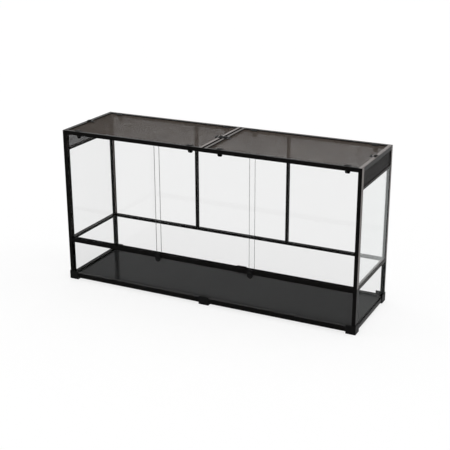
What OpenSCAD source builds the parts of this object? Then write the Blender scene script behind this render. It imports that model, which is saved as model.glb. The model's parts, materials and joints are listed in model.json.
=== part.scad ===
// Reptile terrarium: slim black profile frame, glass panes, three sliding front
// doors in a three-channel track, mesh vents in both ends and two lift-off mesh lids.
// Front is -Y, +X is to the right when facing the doors, +Z is up.

/* [Overall] */
// Width over the feet
width = 1200; // [900:10:1500]
// Depth over the rear feet and the front latches
depth = 346; // [310:2:600]
// Height to the top of the lid bolt ridges
height = 612; // [460:2:800]

/* [Profiles] */
// Width of a corner post's front face
post_w = 14; // [14:1:22]
// Width of the side and rear rails
rail_w = 14; // [14:1:22]
// Wall of every extruded profile
wall = 1.4; // [1.2:0.1:1.8]
// Depth of the channels that hold the panes
groove = 4; // [4:0.5:5]
// Height of the bottom rails
bottom_rail_h = 16; // [15:1:24]
// Height of the middle rails at the sides and rear
mid_rail_h = 11; // [11:0.5:20]
// Height of the front middle rail, which is the door track
track_rail_h = 16; // [14:1:24]
// Height of the top rails
top_rail_h = 15; // [15:0.5:22]
// Width of the upright bars in the rear wall
mullion_w = 10; // [10:0.5:20]

/* [Levels] */
// Height of the bottom rails above the ground
rail_lift = 7; // [6:0.5:14]
// Height of the underside of the door track above the ground
mid_level = 157; // [91:2:221]
// Clear height of the mesh vents
vent_h = 57; // [30:1:90]
// Height of the bar under each vent
sill_h = 8; // [8:0.5:14]

/* [Panes] */
// Thickness of the wall and door glass
glass_t = 4; // [3:0.5:5]
// Thickness of the floor pane
floor_t = 5; // [4:0.5:6]
// Play on each side of a pane in its channel
play = 0.4; // [0.3:0.1:0.6]
// Overlap of neighbouring doors
overlap = 24; // [15:1:50]
// Free height above a door in the top channel
door_lift = 2; // [1.5:0.5:3]

/* [Lids] */
// Width of the lid frame bars
lid_bar_w = 11; // [10:1:16]
// Height of the lid frame bars
lid_bar_h = 6.4; // [6.2:0.2:6.6]
// Gap between the two lids
lid_gap = 9; // [8:1:14]
// Thickness of the frame lip round the lids
lip_t = 3; // [2.5:0.5:4]
// Height of the frame lip round the lids
lip_h = 7; // [7:0.5:8]
// Thickness of the mesh sheets
mesh_t = 1; // [0.8:0.1:1.2]
// Depth of the mesh below the top of its lid
mesh_sink = 3.4; // [3.2:0.1:3.6]
// Distance of a lid clip from the end of its lid
clip_inset = 55; // [40:1:90]
// Width of a lid clip
clip_w = 16; // [10:1:24]
// How far a lid clip reaches below the lid
clip_drop = 27; // [24:1:34]
// Travel of a lid bolt
bolt_travel = 4; // [4:0.5:5.5]
// Width of a lid bolt
bolt_w = 14; // [8:1:20]
// Rise of a bolt's finger ridge above the lid
ridge_rise = 4; // [3:0.5:6]

/* [Feet] */
// Length of a corner foot's arms
foot_arm = 38; // [36:1:70]
// Height of the feet
foot_h = 33; // [32:1:42]
// How far the feet stand out from the frame
foot_out = 2.5; // [1.5:0.5:4]
// Length of a middle foot
center_foot_l = 41; // [30:1:80]

/* [Door latches] */
// Radius of a latch lever's round ends
lever_r = 11; // [8:0.5:12]
// Distance between the centres of a lever's ends
lever_l = 12; // [8:1:20]
// Thickness of a latch lever
lever_t = 4; // [3:0.5:6]
// Radius of the latch pivot pin
pivot_r = 3; // [2:0.5:4]

/* [Hidden] */
$fn = 48;
eps = 0.01;          // overshoot of cuts through a face
slide = 0.3;         // clearance between pieces that move on each other
pivot_play = 0.06;   // radial clearance of the latch lever on its pin
tracks = 3;          // door channels in the front profiles
slot = glass_t + 2 * play;
pitch = slot + wall;
front_d = tracks * pitch + wall;       // depth of the front posts and rails
pin_head_t = 2.5;                      // latch pin head thickness
latch_out = slide + lever_t + slide + pin_head_t;

// Frame faces
xr = width / 2 - foot_out;
xl = -xr;
yf = -depth / 2 + latch_out;
yb = depth / 2 - foot_out;
yc = (yf + yb) / 2;
top = height - ridge_rise;
ledge = top - lip_h;
top_base = top - top_rail_h;
x_in = xr - post_w;                    // inner faces of the posts
yf_in = yf + front_d;
yb_in = yb - rail_w;
track_top = mid_level + track_rail_h;
mid_top = track_top;                   // the middle rails end flush with the track
mid_base = mid_top - mid_rail_h;
bottom_top = rail_lift + bottom_rail_h;
channel_roof = 2;                      // material over the top channels
door_groove = top_rail_h - lip_h - channel_roof;
vent_top = top_base;
cap_base = top_base + groove;          // solid upper end of the posts
sill_top = vent_top - vent_h;
sill_base = sill_top - sill_h;
sill_groove = 3;
floor_slot = floor_t + 2 * play;
floor_rise = 3;                        // floor channel above the underside of its rail
floor_z = rail_lift + floor_rise;
pane_in = groove - 1;                  // how far panes enter upright channels
floor_in = pane_in;                    // how far the floor enters its channels
core_w = post_w - groove - 2 * wall;   // hollow of a profile between its channels

// Doors
door_in = 3;                           // how far the end doors enter the posts
door_run = 2 * (x_in + door_in);
door_w = (door_run + 2 * overlap) / 3;
door_base = track_top - groove + slide;
door_top = top_base + door_groove - door_lift;
lap_x = door_w / 2 - overlap / 2;      // centre of each overlap

// Lids
lid_play = 0.5;                        // side play of the lids in the frame
lid_x1 = xr - lip_t - lid_play;
lid_x0 = lid_gap / 2;
lid_y0 = yf + lip_t + lid_play;
lid_y1 = yb - lip_t - lid_play;
lid_base = ledge + slide;
lid_top = lid_base + lid_bar_h;
mesh_z = lid_top - mesh_t - mesh_sink;
mesh_in = 4;                           // how far the mesh enters the lid bars
clip_t = 2.5;
cap_t = 1.4;
bolt_t = 2;
bolt_z = mesh_z + mesh_t + slide;
nose_back = bolt_travel - lip_t;       // a shot bolt's nose ends level with the far side of the lip
tail = 16;                             // a bolt's length beyond its bar
ridge_t = 3;
ridge_in = 4;                          // ridge to the inner end of its bolt
keeper_end = 5;                        // keeper wall beyond a bolt's edge
keeper_low = 0.4;                      // keeper top below the lid top
clip_cap = 6;                          // bearing of a clip on its lid bar
clip_toe = 1.5;                        // extra thickness of a clip's toe
clip_toe_h = 7;
clip_x = [lid_x0 + clip_inset, lid_x1 - clip_inset];
front_leg_y = max(yf_in + slide, lid_y0 + lid_bar_w);
back_leg_y = min(yb_in - slide, lid_y1 - lid_bar_w) - clip_t;

// Nets
net_wire = 1.8;                        // bars between the openings of a net
lid_gaps = [16, 10];                   // openings along and across a lid
vent_gaps = [20, 5];                   // openings along and up a vent

// Feet and floor brace
foot_round = 1.5;
foot_tongue = 24;                      // depth of a foot's tongue in its post
foot_sole = 2.2;                       // material under a foot's window
foot_window_h = rail_lift - 2 * foot_sole;
foot_window_end = 6;                   // material beyond the end of a window
brace_w = 24;

// Door latches
latch_z = mid_level + track_rail_h / 2;
pin_head_r = pivot_r * 1.8;
thumb_r = lever_r * 0.55;
thumb_depth = lever_t * 0.3;

// Crossbar and mullions
crossbar_lap = 8;                      // bearing of each lid on the crossbar
cross_w = lid_gap + 2 * crossbar_lap;
mullion_x = x_in - (2 * x_in - 2 * mullion_w) / 3 - mullion_w / 2;

black = "#1b1a19";
plastic = "#101010";
smoke = "#3a3a3a";
clear = [0.82, 0.9, 0.9, 0.35];
steel = "#8f9294";

// ---- helpers ----
module span(a, b) {
  translate(a) cube([b.x - a.x, b.y - a.y, b.z - a.z]);
}

// Draws its children on the right-hand side (+1) or mirrored to the left (-1)
module on_side(side) {
  if (side > 0) children();
  else mirror([1, 0, 0]) children();
}

// Section drawn in (along X, along Z), carried from y0 to y1
module along_y(y0, y1) {
  translate([0, y1, 0]) rotate([90, 0, 0]) linear_extrude(y1 - y0) children();
}

// Section drawn in (along Y, along Z), carried from x0 to x1
module along_x(x0, x1) {
  translate([x0, 0, 0]) rotate([90, 0, 90]) linear_extrude(x1 - x0) children();
}

// ---- profile sections; x is measured inwards from the outer face, y is up ----
module door_channels(depth_) {
  for (i = [0 : tracks - 1])
    translate([wall + i * pitch, 0]) square([slot, depth_]);
}

module bottom_section(d) {
  difference() {
    square([d, bottom_rail_h]);
    translate([wall, bottom_rail_h - groove]) square([slot, groove + eps]);
    translate([d - groove, floor_z - rail_lift]) square([groove + eps, floor_slot]);
    translate([wall, wall]) square([d - groove - 2 * wall, bottom_rail_h - groove - 2 * wall]);
  }
}

module mid_section() {
  difference() {
    square([rail_w, mid_rail_h]);
    translate([wall, mid_rail_h - groove]) square([slot, groove + eps]);
    translate([wall, -eps]) square([slot, groove + eps]);
    translate([2 * wall + slot, wall]) square([rail_w - slot - 3 * wall, mid_rail_h - 2 * wall]);
  }
}

module track_section() {
  difference() {
    square([front_d, track_rail_h]);
    translate([0, track_rail_h - groove]) door_channels(groove + eps);
    translate([wall, -eps]) square([slot, groove + eps]);
    translate([2 * wall + slot, wall])
      square([front_d - slot - 3 * wall, track_rail_h - groove - 2 * wall]);
  }
}

module top_section(d, front) {
  difference() {
    square([d, top_rail_h]);
    translate([lip_t, top_rail_h - lip_h]) square([d, lip_h + eps]);
    if (front) translate([0, -eps]) door_channels(door_groove + eps);
    else translate([wall, -eps]) square([slot, groove + eps]);
    if (!front) translate([2 * wall + slot, wall])
      square([d - slot - 3 * wall, top_rail_h - lip_h - 2 * wall]);
  }
}

// ---- posts ----
module post_section(d, channels) {
  difference() {
    square([post_w, d]);
    for (i = [0 : channels - 1])
      translate([post_w - groove, wall + i * pitch]) square([groove + eps, slot]);
    translate([wall, d - groove]) square([slot, groove + eps]);
    translate([wall, wall]) square([core_w, d - groove - 2 * wall]);
  }
}

// Post seen from above with its outer corner at (xl, outer face)
module post_place(front) {
  if (front) translate([xl, yf]) children();
  else translate([xl, yb]) mirror([0, 1]) children();
}

module post(front, side) {
  d = front ? front_d : rail_w;
  color(black) on_side(-side) difference() {
    union() {
      translate([0, 0, rail_lift]) linear_extrude(cap_base - rail_lift)
        post_place(front) post_section(d, front ? tracks : 1);
      translate([0, 0, cap_base]) linear_extrude(top - cap_base) post_place(front) square([post_w, d]);
    }
    // seat of the lid
    translate([0, 0, ledge]) linear_extrude(lip_h + eps)
      post_place(front) translate([lip_t, lip_t]) square([post_w, d]);
  }
}

// Tongue that fills a post's hollow, less a sliding clearance
module tongue(front) {
  d = front ? front_d : rail_w;
  post_place(front) translate([wall + slide, wall + slide])
    square([core_w - 2 * slide, d - groove - 2 * wall - 2 * slide]);
}

// ---- feet ----
module foot_arms(front) {
  d = front ? front_d : rail_w;
  square([foot_arm, d + foot_out]);
  square([post_w + foot_out, foot_arm]);
}

module corner_foot(front, side) {
  d = front ? front_d : rail_w;
  color(plastic) on_side(-side) {
    difference() {
      linear_extrude(foot_h)
        translate([xl - foot_out, front ? yf - foot_out : yb + foot_out]) mirror([0, front ? 0 : 1])
          offset(r = foot_round) offset(delta = -foot_round) foot_arms(front);
      // the frame stands in the foot
      translate([xl, front ? yf : yc, rail_lift])
        cube([width, front ? depth : yb - yc, foot_h]);
      // lightening window under the long rail
      translate([xl + post_w, yf - depth, foot_sole])
        cube([foot_arm - post_w - foot_out - foot_window_end, 3 * depth, foot_window_h]);
    }
    translate([0, 0, rail_lift - eps]) linear_extrude(foot_tongue) tongue(front);
  }
}

module center_foot(front) {
  color(plastic) difference() {
    if (front)
      span([-center_foot_l / 2, yf - foot_out, 0], [center_foot_l / 2, yf_in, foot_h]);
    else
      span([-center_foot_l / 2, yb_in, 0], [center_foot_l / 2, yb + foot_out, foot_h]);
    span([-width, yf, rail_lift], [width, yb, foot_h + eps]);
    for (side = [-1, 1])
      translate([side * center_foot_l / 4, yc, rail_lift / 2])
        cube([center_foot_l / 2 - foot_window_end, 2 * depth, foot_window_h], center = true);
  }
}

// ---- base ----
module bottom_rail_front() {
  color(black) translate([0, yf, rail_lift]) along_x(-x_in, x_in) bottom_section(front_d);
}

module bottom_rail_back() {
  color(black) translate([0, yb, rail_lift]) mirror([0, 1, 0]) along_x(-x_in, x_in) bottom_section(rail_w);
}

module bottom_rail_side(side) {
  color(black) on_side(-side) translate([xl, 0, rail_lift]) along_y(yf_in, yb_in) bottom_section(rail_w);
}

module floor_brace() {
  color(black) difference() {
    span([-brace_w / 2, yf_in, rail_lift], [brace_w / 2, yb_in, floor_z + play]);
    span([-brace_w / 2 + wall, yf_in - eps, rail_lift - eps],
      [brace_w / 2 - wall, yb_in + eps, floor_z + play - wall]);
  }
}

module floor_panel() {
  z = floor_z + play;
  // the corners are cut out for the posts
  color(smoke) union() {
    span([-x_in, yf_in - floor_in, z], [x_in, yb_in + floor_in, z + floor_t]);
    span([-x_in - floor_in, yf_in, z], [x_in + floor_in, yb_in, z + floor_t]);
  }
}

// ---- middle rails ----
module door_track() {
  color(black) translate([0, yf, mid_level]) along_x(-x_in, x_in) track_section();
}

module mid_rail_back() {
  color(black) translate([0, yb, mid_base]) mirror([0, 1, 0]) along_x(-x_in, x_in) mid_section();
}

module mid_rail_side(side) {
  color(black) on_side(-side) translate([xl, 0, mid_base]) along_y(yf_in, yb_in) mid_section();
}

module mullion(side) {
  color(black) on_side(side)
    translate([mullion_x - mullion_w / 2, yb, mid_top]) mirror([0, 1, 0])
      linear_extrude(top_base - mid_top) difference() {
        square([mullion_w, rail_w]);
        translate([-eps, wall]) square([pane_in + eps, slot]);
        translate([mullion_w - pane_in, wall]) square([pane_in + eps, slot]);
        translate([wall, 2 * wall + slot]) square([mullion_w - 2 * wall, rail_w - slot - 3 * wall]);
      }
}

// ---- top rails ----
module bolt_window(x0, x1) {
  span([x0, yc - bolt_w / 2 - slide, bolt_z - slide], [x1, yc + bolt_w / 2 + slide, bolt_z + bolt_t + slide]);
}

module top_rail_front() {
  color(black) translate([0, yf, top_base]) along_x(-x_in, x_in) top_section(front_d, true);
}

module top_rail_back() {
  color(black) translate([0, yb, top_base]) mirror([0, 1, 0]) along_x(-x_in, x_in) top_section(rail_w, false);
}

module top_rail_side(side) {
  color(black) on_side(-side) difference() {
    translate([xl, 0, top_base]) along_y(yf_in, yb_in) top_section(rail_w, false);
    bolt_window(xl - eps, xl + lip_t + eps);
  }
}

module top_crossbar() {
  color(black) difference() {
    span([-cross_w / 2, yf_in, top_base], [cross_w / 2, yb_in, ledge]);
    span([-cross_w / 2 + wall, yf_in - eps, top_base + wall],
      [cross_w / 2 - wall, yb_in + eps, ledge - wall]);
  }
}

module bolt_keeper() {
  keeper_w = lid_gap - 2 * slide;
  keeper_l = bolt_w + 2 * keeper_end;
  color(plastic) difference() {
    span([-keeper_w / 2, yc - keeper_l / 2, ledge], [keeper_w / 2, yc + keeper_l / 2, lid_top - keeper_low]);
    bolt_window(-keeper_w, keeper_w);
  }
}

// ---- panes ----
module upright_pane_y(y, x0, x1, z0, z1) {
  color(clear) span([x0, y, z0], [x1, y + glass_t, z1]);
}

module lower_glass_front() {
  upright_pane_y(yf + wall + play, -x_in - pane_in, x_in + pane_in,
    bottom_top - groove, mid_level + groove - play);
}

module lower_glass_back() {
  upright_pane_y(yb - wall - play - glass_t, -x_in - pane_in, x_in + pane_in,
    bottom_top - groove, mid_base + groove - play);
}

module end_pane(side, z0, z1) {
  x = xl + wall + play;
  color(clear) on_side(-side) span([x, yf_in - pane_in, z0], [x + glass_t, yb_in + pane_in, z1]);
}

module lower_glass_side(side) {
  end_pane(side, bottom_top - groove, mid_base + groove - play);
}

module side_glass(side) {
  end_pane(side, mid_top - groove, sill_base + sill_groove - play);
}

module back_glass(i) {
  edge = mullion_x + mullion_w / 2 - pane_in + play;
  inner = mullion_x - mullion_w / 2 + pane_in - play;
  x0 = i == 0 ? -inner : edge;
  x1 = i == 0 ? inner : x_in + pane_in;
  mirror([i < 0 ? 1 : 0, 0, 0])
    upright_pane_y(yb - wall - play - glass_t, x0, x1, mid_top - groove, top_base + groove - play);
}

// ---- vents ----
module vent_sill(side) {
  color(black) on_side(-side) translate([xl, 0, sill_base]) along_y(yf_in, yb_in) difference() {
    square([rail_w, sill_h]);
    translate([wall, -eps]) square([slot, sill_groove + eps]);
    translate([wall + play + glass_t / 2 - mesh_t / 2, sill_h - sill_groove])
      square([mesh_t, sill_groove + eps]);
  }
}

// Sheet of a by b with n by m openings in the part inside the margins
module net(a, b, n, m, wire, margin_a, margin_b) {
  ca = (a - 2 * margin_a - wire) / n;
  cb = (b - 2 * margin_b - wire) / m;
  linear_extrude(mesh_t) difference() {
    square([a, b]);
    for (i = [0 : n - 1], j = [0 : m - 1])
      translate([margin_a + wire + i * ca, margin_b + wire + j * cb]) square([ca - wire, cb - wire]);
  }
}

module vent_mesh(side) {
  x = xl + wall + play + glass_t / 2 - mesh_t / 2;
  y0 = yf_in - pane_in;
  y1 = yb_in + pane_in;
  z0 = sill_top - sill_groove;
  z1 = vent_top + groove - play;
  color(black) on_side(-side) translate([x, y0, z0]) rotate([90, 0, 90])
    net(y1 - y0, z1 - z0, vent_gaps.x, vent_gaps.y, net_wire, pane_in, sill_groove);
}

// ---- doors ----
// Track 0 is the outermost
module door(track, x0) {
  upright_pane_y(yf + wall + play + track * pitch, x0, x0 + door_w, door_base, door_top);
}

// ---- door latches ----
module latch_disc(r, y0, y1, z) {
  translate([0, y1, z]) rotate([90, 0, 0]) cylinder(r = r, h = y1 - y0);
}

module latch_lever(side) {
  y1 = yf - slide;
  y0 = y1 - lever_t;
  color(plastic) translate([side * lap_x, 0, 0]) difference() {
    union() {
      latch_disc(lever_r, y0, y1, latch_z);
      latch_disc(lever_r, y0, y1, latch_z - lever_l);
      span([-lever_r, y0, latch_z - lever_l], [lever_r, y1, latch_z]);
    }
    latch_disc(pivot_r + pivot_play, y0 - eps, y1 + eps, latch_z);
    // thumb hollow in the lower end
    latch_disc(thumb_r, y0 - eps, y0 + thumb_depth, latch_z - lever_l);
  }
}

module latch_pin(side) {
  color(steel) translate([side * lap_x, 0, 0]) {
    latch_disc(pivot_r, yf - latch_out + eps, yf, latch_z);
    latch_disc(pin_head_r, yf - latch_out, yf - latch_out + pin_head_t, latch_z);
  }
}

// ---- lids; drawn for the right-hand lid ----
module lid_frame(side) {
  color(black) on_side(side) difference() {
    span([lid_x0, lid_y0, lid_base], [lid_x1, lid_y1, lid_top]);
    span([lid_x0 + lid_bar_w, lid_y0 + lid_bar_w, ledge - eps],
      [lid_x1 - lid_bar_w, lid_y1 - lid_bar_w, lid_top + eps]);
    span([lid_x0 + lid_bar_w - mesh_in, lid_y0 + lid_bar_w - mesh_in, mesh_z],
      [lid_x1 - lid_bar_w + mesh_in, lid_y1 - lid_bar_w + mesh_in, mesh_z + mesh_t]);
    bolt_window(lid_x0 - eps, lid_x0 + lid_bar_w + eps);
    bolt_window(lid_x1 - lid_bar_w - eps, lid_x1 + eps);
  }
}

module lid_mesh(side) {
  a = lid_x1 - lid_x0 - 2 * (lid_bar_w - mesh_in);
  b = lid_y1 - lid_y0 - 2 * (lid_bar_w - mesh_in);
  color(black) on_side(side) difference() {
    translate([lid_x1 - lid_bar_w + mesh_in - a, lid_y1 - lid_bar_w + mesh_in - b, mesh_z])
      net(a, b, lid_gaps.x, lid_gaps.y, net_wire, mesh_in, mesh_in);
    for (x = clip_x, y = [front_leg_y, back_leg_y])
      span([x - clip_w / 2 - slide, y - slide, ledge], [x + clip_w / 2 + slide, y + clip_t + slide, top]);
  }
}

module lid_clip(x, leg_y, cap_y0, cap_y1, toe) {
  x0 = x - clip_w / 2;
  x1 = x + clip_w / 2;
  foot_z = lid_base - clip_drop;
  span([x0, cap_y0, lid_top], [x1, cap_y1, lid_top + cap_t]);
  span([x0, leg_y, foot_z], [x1, leg_y + clip_t, lid_top + cap_t]);
  // thicker toe on the side away from the rail
  span([x0, min(leg_y, leg_y + toe), foot_z],
    [x1, max(leg_y + clip_t, leg_y + clip_t + toe), foot_z + clip_toe_h]);
}

module lid_clips(side) {
  color(plastic) on_side(side) for (x = clip_x) {
    lid_clip(x, front_leg_y, lid_y0 + lid_bar_w - clip_cap, front_leg_y + clip_t, clip_toe);
    lid_clip(x, back_leg_y, back_leg_y, lid_y1 - lid_bar_w + clip_cap, -clip_toe);
  }
}

// Bolt in the bar at the lid's outer (+1) or inner (-1) end; tip points out of the lid
module lid_bolt(side, end) {
  tip = end > 0 ? lid_x1 - nose_back : lid_x0 + nose_back;
  back = end > 0 ? lid_x1 - lid_bar_w - tail : lid_x0 + lid_bar_w + tail;
  ridge = end > 0 ? back + ridge_in : back - ridge_in - ridge_t;
  color(plastic) on_side(side) {
    span([min(tip, back), yc - bolt_w / 2, bolt_z], [max(tip, back), yc + bolt_w / 2, bolt_z + bolt_t]);
    span([ridge, yc - bolt_w / 2, bolt_z + bolt_t - eps], [ridge + ridge_t, yc + bolt_w / 2, height]);
  }
}

corner_foot(true, -1);  // foot_front_left
corner_foot(true, 1);  // foot_front_right
corner_foot(false, -1);  // foot_back_left
corner_foot(false, 1);  // foot_back_right
center_foot(true);  // foot_front_center
center_foot(false);  // foot_back_center
bottom_rail_front();
bottom_rail_back();
bottom_rail_side(-1);  // bottom_rail_left
bottom_rail_side(1);  // bottom_rail_right
floor_brace();
floor_panel();
post(true, -1);  // post_front_left
post(true, 1);  // post_front_right
post(false, -1);  // post_back_left
post(false, 1);  // post_back_right
door_track();
mid_rail_back();
mid_rail_side(-1);  // mid_rail_left
mid_rail_side(1);  // mid_rail_right
top_rail_front();
top_rail_back();
top_rail_side(-1);  // top_rail_left
top_rail_side(1);  // top_rail_right
top_crossbar();
bolt_keeper();
lower_glass_front();
lower_glass_back();
lower_glass_side(-1);  // lower_glass_left
lower_glass_side(1);  // lower_glass_right
side_glass(-1);  // side_glass_left
side_glass(1);  // side_glass_right
vent_sill(-1);  // vent_sill_left
vent_sill(1);  // vent_sill_right
vent_mesh(-1);  // vent_mesh_left
vent_mesh(1);  // vent_mesh_right
back_glass(-1);  // back_glass_left
back_glass(0);  // back_glass_center
back_glass(1);  // back_glass_right
mullion(-1);  // mullion_left
mullion(1);  // mullion_right
door(0, -x_in - door_in);  // door_left
door(1, -door_w / 2);  // door_center
door(2, x_in + door_in - door_w);  // door_right
latch_lever(-1);  // latch_lever_left
latch_lever(1);  // latch_lever_right
latch_pin(-1);  // latch_pin_left
latch_pin(1);  // latch_pin_right
lid_frame(-1);  // lid_frame_left
lid_mesh(-1);  // lid_mesh_left
lid_clips(-1);  // lid_clips_left
lid_frame(1);  // lid_frame_right
lid_mesh(1);  // lid_mesh_right
lid_clips(1);  // lid_clips_right
lid_bolt(-1, 1);  // bolt_left_outer
lid_bolt(-1, -1);  // bolt_left_inner
lid_bolt(1, -1);  // bolt_right_inner
lid_bolt(1, 1);  // bolt_right_outer
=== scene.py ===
import json
import math

import bmesh
import bpy
from mathutils import Matrix, Vector


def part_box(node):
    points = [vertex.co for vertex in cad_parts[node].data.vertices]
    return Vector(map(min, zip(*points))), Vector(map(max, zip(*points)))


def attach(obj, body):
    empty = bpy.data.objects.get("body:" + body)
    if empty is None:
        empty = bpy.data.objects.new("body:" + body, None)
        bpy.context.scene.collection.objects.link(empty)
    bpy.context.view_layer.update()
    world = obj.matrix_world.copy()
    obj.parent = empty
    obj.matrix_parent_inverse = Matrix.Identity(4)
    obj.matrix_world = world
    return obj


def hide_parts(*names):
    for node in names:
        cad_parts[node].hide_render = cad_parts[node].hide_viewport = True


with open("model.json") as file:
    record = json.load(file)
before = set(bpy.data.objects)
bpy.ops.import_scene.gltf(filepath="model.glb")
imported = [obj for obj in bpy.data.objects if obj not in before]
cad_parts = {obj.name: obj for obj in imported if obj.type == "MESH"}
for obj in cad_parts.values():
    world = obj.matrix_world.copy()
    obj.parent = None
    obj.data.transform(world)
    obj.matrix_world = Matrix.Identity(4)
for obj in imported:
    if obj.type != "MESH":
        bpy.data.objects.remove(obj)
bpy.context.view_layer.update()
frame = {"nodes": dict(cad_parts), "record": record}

NODES = frame["nodes"]
BODY_OF = {}
for body_name, members in frame["record"]["behaviour"]["bodies"].items():
    for member in members:
        BODY_OF[member] = body_name

MM = 0.001
QUARTER_TURN = math.pi / 2

# ---- camera, fitted to the photograph ----
PHOTO_PX = 450.0
SENSOR_MM = 36.0
CAM_PLACE = Vector((1.5946, -3.2136, 1.5471))
CAM_YAW = math.radians(-26.27)
CAM_PITCH = math.radians(19.68)
CAM_ROLL = math.radians(-0.15)
FOCAL_PX = 999.9
VIEW_REACH_M = 60.0       # far clipping distance


def make_camera():
    level = math.cos(CAM_PITCH)
    ahead = Vector((math.sin(CAM_YAW) * level, math.cos(CAM_YAW) * level, -math.sin(CAM_PITCH)))
    side = Vector((math.cos(CAM_YAW), -math.sin(CAM_YAW), 0))
    up = side.cross(ahead)
    right = math.cos(CAM_ROLL) * side + math.sin(CAM_ROLL) * up
    top = -math.sin(CAM_ROLL) * side + math.cos(CAM_ROLL) * up
    data = bpy.data.cameras.new("camera")
    data.sensor_width = SENSOR_MM
    data.lens = FOCAL_PX / PHOTO_PX * SENSOR_MM
    data.clip_end = VIEW_REACH_M
    cam = bpy.data.objects.new("camera", data)
    turn = Matrix((right, top, -ahead)).transposed()
    cam.matrix_world = Matrix.Translation(CAM_PLACE) @ turn.to_4x4()
    bpy.context.scene.collection.objects.link(cam)
    bpy.context.scene.camera = cam


make_camera()

# ---- shader nodes ----
CLOUD_DETAIL = 4.0
GLOSS_DETAIL = 6.0
GRAIN_DETAIL = 2.0
BLEND_FROM = 0.3          # part of a noise over which one colour blends into the other
BLEND_TO = 0.7
NOISE_LOW = 0.25          # nearly all of a noise lies between these
NOISE_HIGH = 0.75
GRAIN_STRENGTH = 0.25
GLOSS_CLOUD = 0.4         # scale of a surface's uneven gloss, as a share of its colour's
LINEAR_BLEND = 0.5        # makes a Layer Weight's Facing 1 less the cosine of the viewing angle


def new_material(name):
    mat = bpy.data.materials.new(name)
    mat.use_nodes = True
    return mat, mat.node_tree.nodes, mat.node_tree.links, mat.node_tree.nodes["Principled BSDF"]


def coordinates(nodes, links, stretch=(1, 1, 1)):
    where = nodes.new("ShaderNodeTexCoord")
    mapping = nodes.new("ShaderNodeMapping")
    mapping.inputs["Scale"].default_value = stretch
    links.new(where.outputs["Object"], mapping.inputs["Vector"])
    return mapping.outputs["Vector"]


def noise(nodes, links, vector, scale, detail=CLOUD_DETAIL):
    tex = nodes.new("ShaderNodeTexNoise")
    tex.inputs["Scale"].default_value = scale
    tex.inputs["Detail"].default_value = detail
    links.new(vector, tex.inputs["Vector"])
    return tex.outputs["Fac"]


def ramp(nodes, links, fac, colours):
    blend = nodes.new("ShaderNodeValToRGB")
    for stop, position, colour in zip(blend.color_ramp.elements, (BLEND_FROM, BLEND_TO), colours):
        stop.position = position
        stop.color = (*colour, 1)
    links.new(fac, blend.inputs["Fac"])
    return blend.outputs["Color"]


def spread(nodes, links, fac, low_high):
    span = nodes.new("ShaderNodeMapRange")
    span.inputs["From Min"].default_value = NOISE_LOW
    span.inputs["From Max"].default_value = NOISE_HIGH
    span.inputs["To Min"].default_value = low_high[0]
    span.inputs["To Max"].default_value = low_high[1]
    links.new(fac, span.inputs["Value"])
    return span.outputs["Result"]


def grain_bump(nodes, links, where, scale, depth_mm, shader):
    bump = nodes.new("ShaderNodeBump")
    bump.inputs["Strength"].default_value = GRAIN_STRENGTH
    bump.inputs["Distance"].default_value = depth_mm * MM
    links.new(noise(nodes, links, where, scale, GRAIN_DETAIL), bump.inputs["Height"])
    links.new(bump.outputs["Normal"], shader.inputs["Normal"])


def math_node(nodes, links, operation, *values):
    node = nodes.new("ShaderNodeMath")
    node.operation = operation
    for socket, value in zip(node.inputs, values):
        if isinstance(value, (int, float)):
            socket.default_value = value
        else:
            links.new(value, socket)
    return node.outputs[0]


def facing_away(nodes):
    """0 where a face is looked at squarely, 1 where it is seen edge on."""
    weight = nodes.new("ShaderNodeLayerWeight")
    weight.inputs["Blend"].default_value = LINEAR_BLEND
    return weight.outputs["Facing"]


def separate(nodes, links, vector):
    parts = nodes.new("ShaderNodeSeparateXYZ")
    links.new(vector, parts.inputs[0])
    return parts.outputs


def uneven_gloss(nodes, links, where, scale, rough, shader):
    patches = noise(nodes, links, where, scale, GLOSS_DETAIL)
    links.new(spread(nodes, links, patches, rough), shader.inputs["Roughness"])


# ---- kinds of material ----
SHEEN_FROM = 0.2          # facing_away where the painted sheen starts
SHEEN_FULL = 0.5          # and where it is at full strength
FACE_POWER = 4.0          # how quickly the painted sheen goes where a face turns from straight up or sideways
UP_BLUR = 0.05            # rounds the change from faces that look down to those that look up
DULL_COAT = ((0.0022, 0.0019, 0.0017), (0.004, 0.0036, 0.0032))
# warm grey of the painted sheen, which stands in for highlights on the black coat
PAINTED_SHEEN_COAT = ((0.125, 0.106, 0.098), (0.165, 0.140, 0.130))
DULL_SCALE = 60
PAINTED_SHEEN_SCALE = 25
COAT_GLOSS_SCALE = 24
COAT_ROUGH = (0.26, 0.34)
COAT_GRAIN = 900
COAT_GRAIN_MM = 0.02
COAT_SPECULAR = 0.045
GLASS_SCALE = 3
GLASS_GLOSS_SCALE = 5
GLASS_ROUGH = (0.01, 0.03)
GLASS_SQUARE = 0.004      # share of the light that clear glass sends back where it is looked at squarely
GLASS_POWER = 5.0
EDGE_ON = 0.96            # what is added to that where it is seen edge on


def surface(name, colours, rough, scale=60.0, grain=900.0, grain_mm=0.02, specular=0.5, metallic=0.0,
            stretch=(1, 1, 1), alpha=1.0):
    """Moulded, metal or glossy surface: cloudy colour, uneven gloss and a fine grain.

    rough is its lowest and highest roughness, scale and grain are the scales of the noises in its colour
    and in its grain, and grain_mm is the grain's depth."""
    mat, nodes, links, shader = new_material(name)
    where = coordinates(nodes, links, stretch)
    cloud = noise(nodes, links, where, scale)
    links.new(ramp(nodes, links, cloud, colours), shader.inputs["Base Color"])
    uneven_gloss(nodes, links, where, scale * GLOSS_CLOUD, rough, shader)
    grain_bump(nodes, links, where, grain, grain_mm, shader)
    shader.inputs["Specular IOR Level"].default_value = specular
    shader.inputs["Metallic"].default_value = metallic
    shader.inputs["Alpha"].default_value = alpha
    return mat


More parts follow.
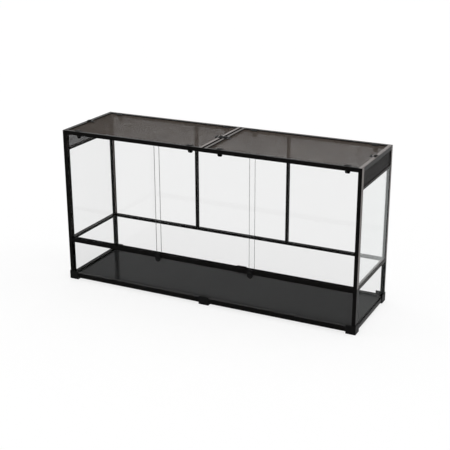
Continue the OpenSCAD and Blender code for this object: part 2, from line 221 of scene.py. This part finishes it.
def bar_painted_sheen(nodes, links, x, long_painted_sheen, inner_bar, outer_bar):
    """Strength of the painted sheen on a lid's frame: one value on its long bars, another on the inner and
    on the outer end bar.
    """
    inner_end, inner_painted_sheen = inner_bar
    outer_start, outer_painted_sheen = outer_bar
    off = math_node(nodes, links, "ABSOLUTE", x)
    on_inner = math_node(nodes, links, "LESS_THAN", off, inner_end)
    on_outer = math_node(nodes, links, "GREATER_THAN", off, outer_start)
    gloss = math_node(nodes, links, "MULTIPLY_ADD", on_inner, inner_painted_sheen - long_painted_sheen, long_painted_sheen)
    return math_node(nodes, links, "MULTIPLY_ADD", on_outer, outer_painted_sheen - long_painted_sheen, gloss)


def low_angle(nodes, links):
    """Share of the painted sheen that is seen: it rises from 0 at SHEEN_FROM to 1 at SHEEN_FULL."""
    rise = math_node(nodes, links, "SUBTRACT", facing_away(nodes), SHEEN_FROM)
    rise = math_node(nodes, links, "DIVIDE", rise, SHEEN_FULL - SHEEN_FROM)
    rise = math_node(nodes, links, "MAXIMUM", rise, 0.0)
    return math_node(nodes, links, "MINIMUM", rise, 1.0)


def top_faces_painted_sheen(nodes, links, normal_z, gloss):
    """Painted sheen on the faces that look up; gloss is its strength."""
    up = math_node(nodes, links, "SMOOTH_MAX", normal_z, 0.0, UP_BLUR)
    up = math_node(nodes, links, "POWER", up, FACE_POWER)
    return math_node(nodes, links, "MULTIPLY", up, gloss)


def side_faces_painted_sheen(nodes, links, normal_x, height, gloss, start):
    """Painted sheen on the faces that look sideways, above the height start; gloss is its strength."""
    side = math_node(nodes, links, "ABSOLUTE", normal_x)
    side = math_node(nodes, links, "POWER", side, FACE_POWER)
    side = math_node(nodes, links, "MULTIPLY", side, gloss)
    high = math_node(nodes, links, "GREATER_THAN", height, start)
    return math_node(nodes, links, "MULTIPLY", side, high)


def coat_with_painted_sheen(nodes, links, where, painted_sheen):
    """Black coat that goes over to the warm grey of the painted sheen where that sheen lies."""
    dull = ramp(nodes, links, noise(nodes, links, where, DULL_SCALE), DULL_COAT)
    bright = ramp(nodes, links, noise(nodes, links, where, PAINTED_SHEEN_SCALE, GLOSS_DETAIL), PAINTED_SHEEN_COAT)
    mix = nodes.new("ShaderNodeMix")
    mix.data_type = "RGBA"
    links.new(painted_sheen, mix.inputs["Factor"])
    links.new(dull, mix.inputs["A"])
    links.new(bright, mix.inputs["B"])
    return mix.outputs["Result"]


def profile_paint(name, painted_sheen_on_top, painted_sheen_on_sides=0.0, side_from=0.0, end_bars=None):
    """Black coated profile with a painted sheen: its upper faces, and on posts its sides, turn warm grey at
    low angles.
    The warm grey stands in for highlights; through Metallic it also mirrors the surroundings.

    side_from is the height above which the sides carry the painted sheen.
    end_bars is for a lid: where its inner end bar ends in X and that bar's painted sheen, and then where its
    outer end bar starts and that bar's painted sheen."""
    mat, nodes, links, shader = new_material(name)
    where = coordinates(nodes, links)
    place = separate(nodes, links, where)
    normal = separate(nodes, links, nodes.new("ShaderNodeNewGeometry").outputs["Normal"])
    gloss = painted_sheen_on_top
    if end_bars:
        gloss = bar_painted_sheen(nodes, links, place["X"], painted_sheen_on_top, *end_bars)
    painted_sheen = top_faces_painted_sheen(nodes, links, normal["Z"], gloss)
    if painted_sheen_on_sides:
        side = side_faces_painted_sheen(nodes, links, normal["X"], place["Z"], painted_sheen_on_sides, side_from)
        painted_sheen = math_node(nodes, links, "MAXIMUM", painted_sheen, side)
    # the painted sheen, strongest at low angles, goes into both the base colour and Metallic
    painted_sheen = math_node(nodes, links, "MULTIPLY", painted_sheen, low_angle(nodes, links))
    links.new(coat_with_painted_sheen(nodes, links, where, painted_sheen), shader.inputs["Base Color"])
    links.new(painted_sheen, shader.inputs["Metallic"])
    uneven_gloss(nodes, links, where, COAT_GLOSS_SCALE, COAT_ROUGH, shader)
    grain_bump(nodes, links, where, COAT_GRAIN, COAT_GRAIN_MM, shader)
    shader.inputs["Specular IOR Level"].default_value = COAT_SPECULAR
    return mat


def clear_glass(name, colours, tint=0.0, edge_on=EDGE_ON):
    """Thin pane: a mirror of low opacity, which mirrors more at low angles.

    tint is what each of its faces adds to the opacity, and edge_on what a low angle adds at most."""
    mat, nodes, links, shader = new_material(name)
    where = coordinates(nodes, links)
    cloud = noise(nodes, links, where, GLASS_SCALE)
    links.new(ramp(nodes, links, cloud, colours), shader.inputs["Base Color"])
    grazing = math_node(nodes, links, "POWER", facing_away(nodes), GLASS_POWER)
    alpha = math_node(nodes, links, "MULTIPLY_ADD", grazing, edge_on, GLASS_SQUARE + tint)
    links.new(alpha, shader.inputs["Alpha"])
    uneven_gloss(nodes, links, where, GLASS_GLOSS_SCALE, GLASS_ROUGH, shader)
    shader.inputs["Metallic"].default_value = 1.0
    return mat


# ---- the materials ----
LID_BAR = 11 * MM         # width of a lid's bars
LID_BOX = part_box("lid_frame_right")
INNER_END = LID_BOX[0].x + LID_BAR          # the left lid mirrors the right one
OUTER_START = LID_BOX[1].x - LID_BAR
# strength of the painted sheen on the lids' long bars; the end bars get their own below
LONG_BAR_PAINTED_SHEEN = 0.1
MID_RAIL_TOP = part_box("mid_rail_right")[1].z
PALE_GREEN = ((0.76, 0.80, 0.79), (0.80, 0.84, 0.83))
SMOKE = ((0.17, 0.18, 0.18), (0.20, 0.21, 0.21))

# Copies of one black coat that differ only in how strong their painted sheen is: strong on the right end,
# the back rail and the vent sills, weaker on the left end, on the posts' sides only above the mid rail, and
# set bar by bar on the lids.
FRAME_PAINT = profile_paint("frame_paint", 0.03)
END_PAINT = profile_paint("end_paint", 0.85)
LEFT_PAINT = profile_paint("left_paint", 0.25)
POST_PAINT = profile_paint("post_paint", 0.6, painted_sheen_on_sides=0.7, side_from=MID_RAIL_TOP)
LID_LEFT_PAINT = profile_paint("lid_paint_left", LONG_BAR_PAINTED_SHEEN,
                               end_bars=((INNER_END, 1.0), (OUTER_START, 0.1)))
LID_RIGHT_PAINT = profile_paint("lid_paint_right", LONG_BAR_PAINTED_SHEEN,
                                end_bars=((INNER_END, 0.5), (OUTER_START, 1.0)))
MOULDED = surface("moulded_plastic", ((0.004, 0.004, 0.004), (0.007, 0.007, 0.007)), rough=(0.38, 0.5),
                  grain=1400, grain_mm=0.04, specular=0.06)
BOLT_PLASTIC = surface("bolt_plastic", ((0.030, 0.029, 0.028), (0.045, 0.044, 0.042)), rough=(0.22, 0.3),
                       scale=90, grain=1600)
FLOOR_GLOSS = surface("floor_gloss", ((0.015, 0.015, 0.015), (0.018, 0.018, 0.018)), rough=(0.10, 0.14),
                      scale=7, grain=60, grain_mm=0.0006, specular=0.03)
LID_COAT = surface("mesh_wire", ((0.067, 0.050, 0.039), (0.094, 0.073, 0.058)), rough=(0.42, 0.55),
                   scale=12, specular=0.3)
VENT_COAT = surface("vent_wire", ((0.012, 0.011, 0.0106), (0.018, 0.0166, 0.0158)), rough=(0.45, 0.55),
                    scale=20, specular=0.2)
STEEL = surface("pin_steel", ((0.010, 0.010, 0.010), (0.018, 0.018, 0.018)), rough=(0.3, 0.4), metallic=1.0,
                stretch=(1, 1, 14))
GLASS_CLEAR = clear_glass("glass_clear", PALE_GREEN)
GLASS_LOW = clear_glass("glass_low", PALE_GREEN, edge_on=0.1)
GLASS_REAR = clear_glass("glass_rear", SMOKE, tint=0.083)
GLASS_EDGE = surface("glass_edge", ((0.012, 0.018, 0.016), (0.022, 0.030, 0.027)), rough=(0.15, 0.25),
                     scale=40, specular=0.2, alpha=0.9)

# ---- building helpers ----
WELD_M = 1e-6
BEVEL_STEPS = 2
BEVEL_ANGLE = math.radians(40)


def box_into(bm, lo, hi):
    corners = [(x, y, z) for x in (lo[0], hi[0]) for y in (lo[1], hi[1]) for z in (lo[2], hi[2])]
    verts = [bm.verts.new(corner) for corner in corners]
    faces = ((0, 1, 3, 2), (4, 6, 7, 5), (0, 4, 5, 1), (2, 3, 7, 6), (0, 2, 6, 4), (1, 5, 7, 3))
    return [bm.faces.new([verts[i] for i in face]) for face in faces]


def extrude(bm, outline, axis, start, end):
    """Closed prism; outline holds (first, second) pairs of the two other axes, start and end are on axis."""
    def point(pair, at):
        values = list(pair)
        values.insert(axis, at)
        return values
    rings = [[bm.verts.new(point(pair, at)) for pair in outline] for at in (start, end)]
    faces = [bm.faces.new(rings[0]), bm.faces.new(rings[1][::-1])]
    count = len(outline)
    for i in range(count):
        j = (i + 1) % count
        faces.append(bm.faces.new((rings[0][i], rings[1][i], rings[1][j], rings[0][j])))
    bmesh.ops.recalc_face_normals(bm, faces=faces)


def add_piece(name, bm, mats, node, replace=True):
    """New object that rides with a node's body and, if replace is set, stands in that node's place."""
    mesh = bpy.data.meshes.new(name)
    bm.to_mesh(mesh)
    bm.free()
    obj = bpy.data.objects.new(name, mesh)
    bpy.context.scene.collection.objects.link(obj)
    for mat in mats:
        obj.data.materials.append(mat)
    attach(obj, BODY_OF[node])
    if replace:
        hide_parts(node)
    return obj


def soften(obj, width_mm):
    """Breaks the sharp edges, as on a drawn or moulded piece."""
    weld = obj.modifiers.new("weld", "WELD")
    weld.merge_threshold = WELD_M
    edge = obj.modifiers.new("edge", "BEVEL")
    edge.width = width_mm * MM
    edge.segments = BEVEL_STEPS
    edge.limit_method = "ANGLE"
    edge.angle_limit = BEVEL_ANGLE
    edge.harden_normals = False


def box_size(lo, hi):
    return [hi[i] - lo[i] for i in range(3)]


# ---- frame, feet and fittings keep their CAD shapes ----
MOULDED_EDGE = 0.6        # width in mm of the broken edges
BOLT_EDGE = 0.4
LID_EDGE = 0.4
PROFILE_EDGE = 0.35
CLIP_SOFT = 0.5
STRAP_SOFT = 0.4

# Starts of node names, material and edge. The first line that fits counts.
# foot_back_center stays sharp, because its softened shape stands past the box of the CAD.
FINISHES = (
    (("floor_panel",), FLOOR_GLOSS, None),
    (("latch_pin",), STEEL, None),
    (("foot_back_center",), MOULDED, None),
    (("foot_", "latch_lever", "lid_clips", "bolt_keeper"), MOULDED, MOULDED_EDGE),
    (("bolt_",), BOLT_PLASTIC, BOLT_EDGE),
    (("top_rail_right", "top_rail_back", "mid_rail_right", "vent_sill"), END_PAINT, PROFILE_EDGE),
    (("top_rail_left", "mid_rail_left"), LEFT_PAINT, PROFILE_EDGE),
    (("post_",), POST_PAINT, PROFILE_EDGE),
    (("lid_frame_left",), LID_LEFT_PAINT, LID_EDGE),
    (("lid_frame_right",), LID_RIGHT_PAINT, LID_EDGE),
    (("",), FRAME_PAINT, PROFILE_EDGE),
)
DOORS = ("door_left", "door_center", "door_right")
GLASS_NODES = [name for name in NODES if "glass" in name or name in DOORS]
MESH_NODES = [name for name in NODES if "_mesh_" in name]


def finish_node(name, obj):
    material, edge_mm = next(finish for starts, *finish in FINISHES if name.startswith(starts))
    obj.data.materials.clear()
    obj.data.materials.append(material)
    if edge_mm:
        soften(obj, edge_mm)


for node_name, node_obj in NODES.items():
    if node_name not in GLASS_NODES and node_name not in MESH_NODES:
        finish_node(node_name, node_obj)

# ---- panes: clear faces, darker polished edges ----
SMOKED_ENDS = ("side_glass_left", "lower_glass_left")
FACE_SLOT = 0
EDGE_SLOT = 1


def face_glass(node):
    if "back" in node or node in SMOKED_ENDS:
        return GLASS_REAR
    if node == "lower_glass_right":
        return GLASS_LOW
    return GLASS_CLEAR


def make_pane(node):
    lo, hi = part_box(node)
    size = box_size(lo, hi)
    thin = size.index(min(size))
    bm = bmesh.new()
    for face in box_into(bm, lo, hi):
        face.normal_update()
        along_thin = round(abs(face.normal[thin])) == 1
        face.material_index = FACE_SLOT if along_thin else EDGE_SLOT
    add_piece("pane_" + node, bm, (face_glass(node), GLASS_EDGE), node)


for pane in GLASS_NODES:
    make_pane(pane)

# ---- wire mesh: every wire is there ----
LID_PITCH = 2.0 * MM
LID_WIRE = 0.39 * MM
VENT_PITCH = 1.6 * MM
VENT_WIRE = 0.53 * MM
LAYER_SHIFT = 0.6         # of half a wire: the crossing wires bite into each other


def make_mesh(node, pitch, wire, coat):
    """Two layers of straight wires over the node's box: pitch is from wire to wire, wire is their width."""
    lo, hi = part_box(node)
    size = box_size(lo, hi)
    thin = size.index(min(size))
    first, second = [i for i in range(3) if i != thin]
    mid = (lo[thin] + hi[thin]) / 2
    half = wire / 2
    bm = bmesh.new()
    for run, across, shift in ((first, second, half * LAYER_SHIFT), (second, first, -half * LAYER_SHIFT)):
        count = int(round(size[across] / pitch))
        step = size[across] / count
        for i in range(count):
            at = lo[across] + (i + 0.5) * step
            low = [0, 0, 0]
            high = [0, 0, 0]
            low[run], high[run] = lo[run], hi[run]
            low[across], high[across] = at - half, at + half
            low[thin], high[thin] = mid + shift - half, mid + shift + half
            box_into(bm, low, high)
    add_piece("wires_" + node, bm, (coat,), node)


for net in MESH_NODES:
    if net.startswith("lid"):
        make_mesh(net, LID_PITCH, LID_WIRE, LID_COAT)
    else:
        make_mesh(net, VENT_PITCH, VENT_WIRE, VENT_COAT)

# ---- straps over the lid bolts ----
STRAP_W = 26 * MM         # along the bar
STRAP_FLAT = 1.3 * MM     # thickness of a strap's ends
STRAP_RISE = 3.6 * MM     # top of a strap above its bar
STRAP_BRIDGE = 9 * MM     # half length of the raised middle
STRAP_EDGE = 1 * MM       # bar left free beside a strap
SCREW_R = 1.9 * MM
SCREW_DOME = 0.45         # height of a head, as a share of its radius
SCREW_RINGS = 4
SCREW_SIDES = 20


def screw_head(bm, centre):
    """Domed head that stands on centre."""
    dome = SCREW_R * SCREW_DOME
    turns = [i * 2 * math.pi / SCREW_SIDES for i in range(SCREW_SIDES)]
    rings = []
    for k in range(SCREW_RINGS):
        rise = k * QUARTER_TURN / SCREW_RINGS
        radius = SCREW_R * math.cos(rise)
        height = dome * math.sin(rise)
        points = [Vector((radius * math.cos(turn), radius * math.sin(turn), height)) for turn in turns]
        rings.append([bm.verts.new(centre + point) for point in points])
    top = bm.verts.new(centre + Vector((0, 0, dome)))
    for low_ring, high_ring in zip(rings, rings[1:]):
        for i in range(SCREW_SIDES):
            j = (i + 1) % SCREW_SIDES
            bm.faces.new((low_ring[i], low_ring[j], high_ring[j], high_ring[i]))
    for i in range(SCREW_SIDES):
        bm.faces.new((rings[-1][i], rings[-1][(i + 1) % SCREW_SIDES], top))
    bm.faces.new(rings[0][::-1])


def strap_outline(mid_y, base_z):
    """In Y and Z: flat ends and a raised middle with sloping sides."""
    half = STRAP_W / 2
    slope = STRAP_RISE - STRAP_FLAT
    left_half = ((-half, 0), (-half, STRAP_FLAT), (-STRAP_BRIDGE, STRAP_FLAT),
                 (slope - STRAP_BRIDGE, STRAP_RISE))
    right_half = [(-y, z) for y, z in left_half[::-1]]
    return [(mid_y + y, base_z + z) for y, z in (*left_half, *right_half)]


def make_strap(bolt):
    """Bridge over a lid bolt, screwed to the lid's end bar."""
    frame_node = "lid_frame_" + bolt.split("_")[1]
    bolt_lo, bolt_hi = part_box(bolt)
    lo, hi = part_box(frame_node)
    at_high_end = bolt_hi.x + bolt_lo.x > hi.x + lo.x
    x0 = hi.x - LID_BAR if at_high_end else lo.x
    mid_y = (bolt_lo.y + bolt_hi.y) / 2
    bm = bmesh.new()
    extrude(bm, strap_outline(mid_y, hi.z), 0, x0 + STRAP_EDGE, x0 + LID_BAR - STRAP_EDGE)
    strap = add_piece("strap_" + bolt, bm, (MOULDED,), frame_node, replace=False)
    soften(strap, STRAP_SOFT)
    bm = bmesh.new()
    screw_off = (STRAP_BRIDGE + STRAP_W / 2) / 2
    for end in (-1, 1):
        screw_head(bm, Vector((x0 + LID_BAR / 2, mid_y + end * screw_off, hi.z + STRAP_FLAT)))
    add_piece("screws_" + bolt, bm, (STEEL,), frame_node, replace=False)


for bolt_name in [name for name in NODES if name.startswith("bolt_") and name != "bolt_keeper"]:
    make_strap(bolt_name)

# ---- lid clips ----
CLIP_INSET = 55 * MM      # clip to the end of its lid
CLIP_W = 18 * MM
CLIP_SHORT = 4 * MM       # a leg ends this much above the CAD's, as in the photograph
CLIP_CAP = 1.4 * MM
CLIP_LEG = 2.5 * MM
CLIP_TOE = 1.5 * MM       # a toe's extra thickness
CLIP_TOE_H = 8 * MM
CLIP_ROUND = 5 * MM
ROUND_STEPS = 6
CLIP_EDGE = 6 * MM        # cap between its outer edge and the grip
GRIP_W = 24 * MM          # grip of a clip, which reaches over the mesh
GRIP_REACH = 15 * MM
GRIP_LIFT = 0.2 * MM      # play over the mesh
RAIL_PLAY = 0.3 * MM      # play between a leg and the rail


def tongue_outline(x0, x1, low, high):
    """Upright plate with round lower corners, in X and Z."""
    points = [(x0, high), (x1, high)]
    for centre, start in ((x1 - CLIP_ROUND, 0), (x0 + CLIP_ROUND, -QUARTER_TURN)):
        for i in range(ROUND_STEPS + 1):
            angle = start - i * QUARTER_TURN / ROUND_STEPS
            height = low + CLIP_ROUND + CLIP_ROUND * math.sin(angle)
            points.append((centre + CLIP_ROUND * math.cos(angle), height))
    return points


def clip_leg_face(front):
    """Y of the face of a clip's leg towards the rail; it clears the rail and the lid's bar."""
    if front:
        return max(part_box("top_rail_front")[1].y + RAIL_PLAY, LID_BOX[0].y + LID_BAR)
    return min(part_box("top_rail_back")[0].y - RAIL_PLAY, LID_BOX[1].y - LID_BAR)


def clip_into(bm, x, front, clip_box, lid_box, mesh_top):
    """One clip: a cap on the bar, a grip over the mesh and a leg that reaches down behind the rail."""
    out = -1 if front else 1      # towards the rail
    far = 0 if front else 1       # corner of a box on the rail's side
    top = lid_box[1].z
    cap_top = top + CLIP_CAP
    cap_edge = clip_box[far].y
    foot = clip_box[0].z + CLIP_SHORT
    leg = clip_leg_face(front)
    x0 = x - CLIP_W / 2
    x1 = x + CLIP_W / 2
    plate = sorted((leg, leg - out * CLIP_LEG))
    toe = sorted((leg, leg - out * (CLIP_LEG + CLIP_TOE)))
    extrude(bm, tongue_outline(x0, x1, foot, top), 1, *plate)
    extrude(bm, tongue_outline(x0, x1, foot, foot + CLIP_TOE_H), 1, *toe)
    cap = sorted((cap_edge, leg - out * CLIP_LEG))
    box_into(bm, (x0, cap[0], top), (x1, cap[1], cap_top))
    grip_start = cap_edge - out * CLIP_EDGE
    bar_inside = lid_box[far].y - out * LID_BAR
    tip = bar_inside - out * GRIP_REACH
    low = mesh_top + GRIP_LIFT
    grip = ((grip_start, top), (bar_inside, top), (bar_inside, low), (tip, low),
            (tip, low + CLIP_CAP), (bar_inside, cap_top), (grip_start, cap_top))
    extrude(bm, grip, 0, x - GRIP_W / 2, x + GRIP_W / 2)


def make_clips(side):
    node = "lid_clips_" + side
    clip_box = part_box(node)
    lid_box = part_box("lid_frame_" + side)
    mesh_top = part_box("lid_mesh_" + side)[1].z
    bm = bmesh.new()
    for x in (lid_box[0].x + CLIP_INSET, lid_box[1].x - CLIP_INSET):
        for front in (True, False):
            clip_into(bm, x, front, clip_box, lid_box, mesh_top)
    clips = add_piece("clips_" + side, bm, (MOULDED,), node)
    soften(clips, CLIP_SOFT)


for side_name in ("left", "right"):
    make_clips(side_name)

# ---- studio ----
WHITE = (1, 1, 1, 1)
FLOOR_SIZE = 24           # metres
FLOOR_DROP = 0.5 * MM     # floor under the feet
FLOOR_GREY = 0.3          # what the floor sends back of the light on it
FLOOR_GLOW = 0.755        # what brings the seen floor up to white
FLOOR_ROUGH = 0.9
SKY_FILL = 0.6            # light of the surroundings on the object

# name, direction, strength and spread in degrees
SUNS = (
    ("key_right", (-1.0, -0.55, -0.75), 0.55, 40),
    ("top", (0.25, -0.2, -1.0), 0.45, 50),
)


def seen_rays(nodes, links):
    """1 for what the camera, glass and shiny faces look at, 0 for the light on the object."""
    rays = nodes.new("ShaderNodeLightPath")
    seen = math_node(nodes, links, "MAXIMUM", rays.outputs["Is Camera Ray"], rays.outputs["Is Glossy Ray"])
    return math_node(nodes, links, "MAXIMUM", seen, rays.outputs["Is Transmission Ray"])


def make_floor():
    bpy.ops.mesh.primitive_plane_add(size=FLOOR_SIZE, location=(0, 0, -FLOOR_DROP))
    floor = bpy.context.object
    floor.name = "studio_floor"
    mat, nodes, links, shader = new_material("studio_floor")
    shader.inputs["Base Color"].default_value = (FLOOR_GREY, FLOOR_GREY, FLOOR_GREY, 1)
    shader.inputs["Roughness"].default_value = FLOOR_ROUGH
    shader.inputs["Specular IOR Level"].default_value = 0.0
    glow = nodes.new("ShaderNodeEmission")
    glow.inputs["Color"].default_value = WHITE
    strength = math_node(nodes, links, "MULTIPLY", seen_rays(nodes, links), FLOOR_GLOW)
    links.new(strength, glow.inputs["Strength"])
    add = nodes.new("ShaderNodeAddShader")
    links.new(shader.outputs[0], add.inputs[0])
    links.new(glow.outputs[0], add.inputs[1])
    links.new(add.outputs[0], nodes["Material Output"].inputs["Surface"])
    floor.data.materials.append(mat)


def make_world():
    world = bpy.data.worlds.new("studio")
    bpy.context.scene.world = world
    world.use_nodes = True
    nodes = world.node_tree.nodes
    links = world.node_tree.links
    sky = nodes["Background"]
    sky.inputs["Color"].default_value = WHITE
    strength = math_node(nodes, links, "MULTIPLY_ADD", seen_rays(nodes, links), 1.0 - SKY_FILL, SKY_FILL)
    links.new(strength, sky.inputs["Strength"])


def make_sun(name, toward, strength, spread_deg):
    data = bpy.data.lights.new(name, "SUN")
    data.energy = strength
    data.angle = math.radians(spread_deg)
    obj = bpy.data.objects.new(name, data)
    obj.rotation_euler = Vector(toward).to_track_quat("-Z", "Y").to_euler()
    bpy.context.scene.collection.objects.link(obj)


make_floor()
make_world()
for sun in SUNS:
    make_sun(*sun)
bpy.context.scene.view_settings.view_transform = "Standard"
